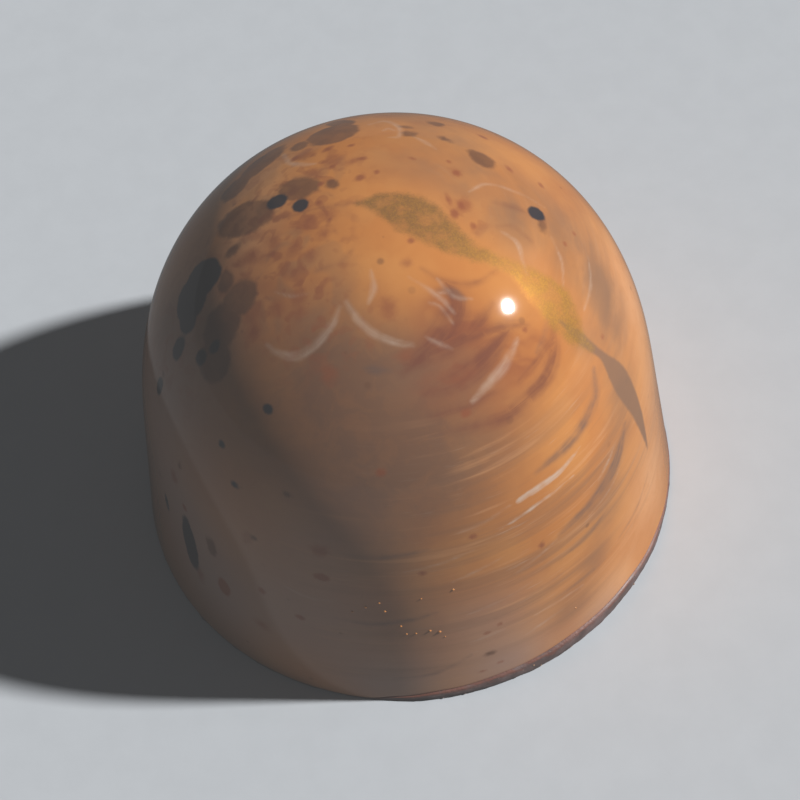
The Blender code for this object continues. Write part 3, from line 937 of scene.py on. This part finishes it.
class PRALINE_OT_painted_dome(bpy.types.Operator):
    """Build the glossy dome with its marbled paint"""

    bl_idname = "praline.painted_dome"
    bl_label = "Painted Dome"
    bl_options = {"REGISTER", "UNDO"}

    COLUMNS = 400
    ROWS = 216
    ROUND_ROWS = 5
    DISC_RADIUS = 0.495
    CORNER_PLACE = 0.075
    CORNER_RADIUS = 0.065
    UNDERSIDE_RISE = 0.1  # mm

    def execute(self, context):
        shape = context.scene.praline_shape
        surface = DomeSurface(shape)
        turn = np.arange(self.COLUMNS) * 360 / self.COLUMNS - 180
        edge = round_the_dome(PAINT_EDGE, turn)
        longest = surface.down_at(edge + shape.edge_round / MM)
        share = (np.arange(self.ROWS) + 1) / self.ROWS
        down = share[:, None] * longest[None, :]
        rings = surface.place(np.broadcast_to(turn, down.shape), down)
        rings = np.concatenate([rings, self.rolled_edge(surface, shape, turn, edge)])
        bottom = rings[-1, :, 2].mean()
        mesh, points = turned_mesh("marbled_dome", rings, (0, 0, surface.top), (0, 0, bottom))
        self.paint(surface, mesh, points)
        self.lay_flat(mesh, (np.arange(len(rings)) + 1) / len(rings))
        piece = add_piece("marbled_dome", mesh, painted_coat(context.scene.praline_colours))
        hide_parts("painted_dome")
        return {"FINISHED"}

    def rolled_edge(self, surface, shape, turn, edge):
        """The small round under the paint's lower edge, and the ring where its underside starts."""
        size = shape.edge_round / MM
        rings = []
        for row in range(1, self.ROUND_ROWS + 1):
            bend = math.pi / 2 * row / self.ROUND_ROWS
            height = edge + size * (1 - math.sin(bend))
            radius = surface.radius_at(edge + size) - size * (1 - math.cos(bend))
            rings.append(on_circle(radius, turn, height))
        rings.append(on_circle(radius - UNDERSIDE_RING, turn, height + self.UNDERSIDE_RISE))
        return np.stack(rings)

    def paint(self, surface, mesh, points):
        """Stores where each paint lies, for the material to read."""
        for name, drops in DROPS.items():
            store_numbers(mesh, name, drop_field(surface, points, drops))
        for name, strokes in STROKES.items():
            field, grain = stroke_field(surface, points, strokes)
            store_numbers(mesh, name, field)
            store_vectors(mesh, name + "_grain", grain)
        for name, veils in VEILS.items():
            store_numbers(mesh, name, veil_field(surface, points, veils))

    def lay_flat(self, mesh, reach):
        """A round flat map seen from above, with the underside's fan in a corner of its own."""
        turns = np.arange(self.COLUMNS) * math.tau / self.COLUMNS
        spokes = np.stack([np.sin(turns), np.cos(turns)], -1)
        disc = self.DISC_RADIUS * reach[:, None, None] * spokes[None, :, :] + 0.5
        corner = self.CORNER_RADIUS * spokes + self.CORNER_PLACE
        corner_middle = [[self.CORNER_PLACE] * 2]
        points = np.array([loop.vertex_index for loop in mesh.loops])
        flat = np.vstack([disc.reshape(-1, 2), [[0.5, 0.5]], corner_middle])[points]
        fan_start = len(mesh.loops) - 3 * self.COLUMNS
        fan = np.minimum(points[fan_start:] - (len(reach) - 1) * self.COLUMNS, self.COLUMNS)
        flat[fan_start:] = np.vstack([corner, corner_middle])[fan]
        mesh.uv_layers.new(name="OFBake").data.foreach_set("uv", flat.astype(np.float32).ravel())


class PRALINE_OT_closing_layer(bpy.types.Operator):
    """Build the dark closing layer with its scraped rim"""

    bl_idname = "praline.closing_layer"
    bl_label = "Closing Layer"
    bl_options = {"REGISTER", "UNDO"}

    COLUMNS = 720
    SIDE_ROWS = 14
    HIDDEN_RINGS = ((1.2, 0.1), (0.08, 0.04))  # mm in from the paint's edge, and up behind it
    BULGE_START = 0.12  # as shares of a half wave
    BULGE_SPAN = 0.80
    BULGE_POWER = 0.6
    LEVEL_POWER = 1.1
    LEAST_EDGE = 0.1  # mm
    SEED = 11

    def execute(self, context):
        shape = context.scene.praline_shape
        surface = DomeSurface(shape)
        generator = np.random.default_rng(self.SEED)
        turn = np.arange(self.COLUMNS) * 360 / self.COLUMNS - 180
        edge = round_the_dome(PAINT_EDGE, turn)
        reach = round_the_dome(LIP_REACH, turn)
        side = surface.radius_at(edge)
        ragged = shape.rim_ragged / MM
        outline = [(side - inward, edge + upward) for inward, upward in self.HIDDEN_RINGS]
        for row in range(self.SIDE_ROWS):
            share = row / (self.SIDE_ROWS - 1)
            bulge = math.sin(math.pi * (self.BULGE_START + self.BULGE_SPAN * share)) ** self.BULGE_POWER
            radius = side + reach * bulge + ragged * share * self.ripple(generator)
            outline.append((radius, edge * (1 - share) ** self.LEVEL_POWER))
        outline.append((surface.foot - UNDERSIDE_RING + 0 * turn, 0 * turn))
        rings = np.stack([on_circle(radius, turn, height) for radius, height in outline])
        top_middle = (0, 0, rings[0, :, 2].mean())
        mesh, _ = turned_mesh("dark_closing_layer", rings, top_middle, (0, 0, 0))
        edges = np.tile(np.maximum(edge, self.LEAST_EDGE), len(outline))
        under = np.append(rings[:, :, 2].ravel() / edges, [1, 0])
        store_numbers(mesh, "under_paint", under)
        material = dark_layer(context.scene.praline_colours)
        piece = add_piece("dark_closing_layer", mesh, material)
        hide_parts("closing_layer")
        return {"FINISHED"}

    def ripple(self, generator):
        """Uneven steps round the rim, smoothed a little."""
        steps = generator.normal(0, 1, self.COLUMNS)
        return (steps + np.roll(steps, 1) + np.roll(steps, -1) + np.roll(steps, 2)) / 2.6


class PRALINE_OT_air_bubbles(bpy.types.Operator):
    """Set small pale beads in the coat, where air was caught in the mould"""

    bl_idname = "praline.air_bubbles"
    bl_label = "Air Bubbles"
    bl_options = {"REGISTER", "UNDO"}

    SUNK = 0.45  # as a share of the bubble's radius

    def execute(self, context):
        surface = DomeSurface(context.scene.praline_shape)
        build = bmesh.new()
        for turn, down, radius in AIR_BUBBLES:
            middle = surface.place(turn, down) - self.SUNK * radius * surface.outward(turn, down)
            bmesh.ops.create_icosphere(
                build, subdivisions=3, radius=radius * MM, matrix=Matrix.Translation(Vector(middle) * MM)
            )
        mesh = finished_mesh("air_bubbles", build)
        add_piece("air_bubbles", mesh, pale_beads(context.scene.praline_colours))
        return {"FINISHED"}


class PRALINE_OT_rim_crumbs(bpy.types.Operator):
    """Scatter crumbs along the scraped rim"""

    bl_idname = "praline.rim_crumbs"
    bl_label = "Rim Crumbs"
    bl_options = {"REGISTER", "UNDO"}

    COUNT = 30
    SEED = 29
    SIZES = (0.025, 0.060)  # mm, the smallest and the largest half width
    TURNS = (-4, 70)  # degrees
    HEIGHTS = (0.1, 0.95)  # as shares of the rim's height
    ABOVE_TABLE = 1.7  # the least height, in half widths
    OUTWARD = 0.75  # as a share of the lip's reach
    STRETCH = (0.6, 1.3)
    LUMPS = 0.22

    def execute(self, context):
        surface = DomeSurface(context.scene.praline_shape)
        generator = np.random.default_rng(self.SEED)
        build = bmesh.new()
        for _ in range(self.COUNT):
            turn = generator.uniform(*self.TURNS)
            share = generator.uniform(*self.HEIGHTS)
            size = self.SIZES[0] + (self.SIZES[1] - self.SIZES[0]) * generator.random() ** 2
            edge = float(round_the_dome(PAINT_EDGE, [turn])[0])
            reach = float(round_the_dome(LIP_REACH, [turn])[0])
            height = max(self.ABOVE_TABLE * size, edge * share)
            radius = float(surface.radius_at(edge)) + self.OUTWARD * reach
            middle = Vector(on_circle(radius, turn, height)) * MM
            stretch = Matrix.Diagonal((*generator.uniform(*self.STRETCH, 3), 1.0))
            spin = Matrix.Rotation(generator.uniform(0, math.tau), 4, Vector(generator.normal(size=3)))
            lump = bmesh.ops.create_icosphere(
                build, subdivisions=2, radius=size * MM, matrix=Matrix.Translation(middle) @ spin @ stretch
            )
            for vertex in lump["verts"]:
                vertex.co += (vertex.co - middle) * generator.uniform(-self.LUMPS, self.LUMPS)
        mesh = finished_mesh("rim_crumbs", build)
        add_piece("rim_crumbs", mesh, crumb_mix(context.scene.praline_colours))
        return {"FINISHED"}


class PRALINE_OT_stage(bpy.types.Operator):
    """Set the floor, the lights and the camera"""

    bl_idname = "praline.stage"
    bl_label = "Stage"
    bl_options = {"REGISTER", "UNDO"}

    FLOOR_HALF = 1.2

    def execute(self, context):
        stage = context.scene.praline_stage
        self.add_floor(context, stage)
        self.add_light(context, stage)
        self.add_camera(context, stage)
        view = context.scene.view_settings
        view.view_transform = "Standard"
        view.use_curve_mapping = True
        view.curve_mapping.black_level = [-stage.haze] * 3
        view.curve_mapping.update()
        return {"FINISHED"}

    def add_floor(self, context, stage):
        half = self.FLOOR_HALF
        mesh = bpy.data.meshes.new("floor")
        corners = [(-half, -half, 0), (half, -half, 0), (half, half, 0), (-half, half, 0)]
        mesh.from_pydata(corners, [], [(0, 1, 2, 3)])
        mesh.materials.append(pale_floor(stage))
        floor = bpy.data.objects.new("floor", mesh)
        context.scene.collection.objects.link(floor)

    def add_light(self, context, stage):
        key_data = bpy.data.lights.new("key_light", "SUN")
        key_data.angle = stage.sun_size
        key_data.energy = stage.sun_strength
        key_data.color = stage.sun_colour
        key = bpy.data.objects.new("key_light", key_data)
        flat = math.cos(stage.sun_height)
        towards = Vector((
            flat * math.sin(stage.sun_turn), -flat * math.cos(stage.sun_turn), math.sin(stage.sun_height)
        ))
        key.rotation_euler = towards.to_track_quat("Z", "Y").to_euler()
        key.location = towards
        context.scene.collection.objects.link(key)
        world = bpy.data.worlds.new("soft_sky")
        world.use_nodes = True
        background = world.node_tree.nodes["Background"]
        background.inputs["Color"].default_value = (*stage.sky_colour, 1.0)
        background.inputs["Strength"].default_value = stage.sky_strength
        context.scene.world = world

    def add_camera(self, context, stage):
        camera_data = bpy.data.cameras.new("camera")
        camera_data.lens = stage.lens
        camera = bpy.data.objects.new("camera", camera_data)
        back = -stage.distance * math.cos(stage.camera_height)
        location = Vector((0, back, stage.distance * math.sin(stage.camera_height)))
        aim = Vector((0, stage.aim_back, 0))
        level = (aim - location).to_track_quat("-Z", "Y").to_matrix().to_4x4()
        roll = Matrix.Rotation(stage.camera_roll, 4, "Z")
        camera.matrix_world = Matrix.Translation(location) @ level @ roll
        context.scene.collection.objects.link(camera)
        context.scene.camera = camera


class PRALINE_PT_sidebar(bpy.types.Panel):
    """Lists the praline's pieces and settings."""

    bl_idname = "PRALINE_PT_sidebar"
    bl_label = "Marbled Praline"
    bl_space_type = "VIEW_3D"
    bl_region_type = "UI"
    bl_category = "Praline"

    def draw(self, context):
        layout = self.layout
        for step in STEPS:
            layout.operator(step.bl_idname)
        for group in ("praline_shape", "praline_colours", "praline_stage"):
            settings = getattr(context.scene, group)
            box = layout.box()
            for name in settings.__annotations__:
                box.prop(settings, name)


STEPS = (
    PRALINE_OT_stage,
    PRALINE_OT_painted_dome,
    PRALINE_OT_closing_layer,
    PRALINE_OT_air_bubbles,
    PRALINE_OT_rim_crumbs,
)
GROUPS = {
    "praline_shape": PralineShape,
    "praline_colours": PralineColours,
    "praline_stage": PralineStage,
}


def register():
    for name, group in GROUPS.items():
        bpy.utils.register_class(group)
        setattr(bpy.types.Scene, name, bpy.props.PointerProperty(type=group))
    for step in STEPS:
        bpy.utils.register_class(step)
    bpy.utils.register_class(PRALINE_PT_sidebar)


def unregister():
    bpy.utils.unregister_class(PRALINE_PT_sidebar)
    for step in reversed(STEPS):
        bpy.utils.unregister_class(step)
    for name, group in GROUPS.items():
        delattr(bpy.types.Scene, name)
        bpy.utils.unregister_class(group)


def main():
    register()
    bpy.ops.praline.stage()
    bpy.ops.praline.painted_dome()
    bpy.ops.praline.closing_layer()
    bpy.ops.praline.air_bubbles()
    bpy.ops.praline.rim_crumbs()


if __name__ == "__main__":
    main()
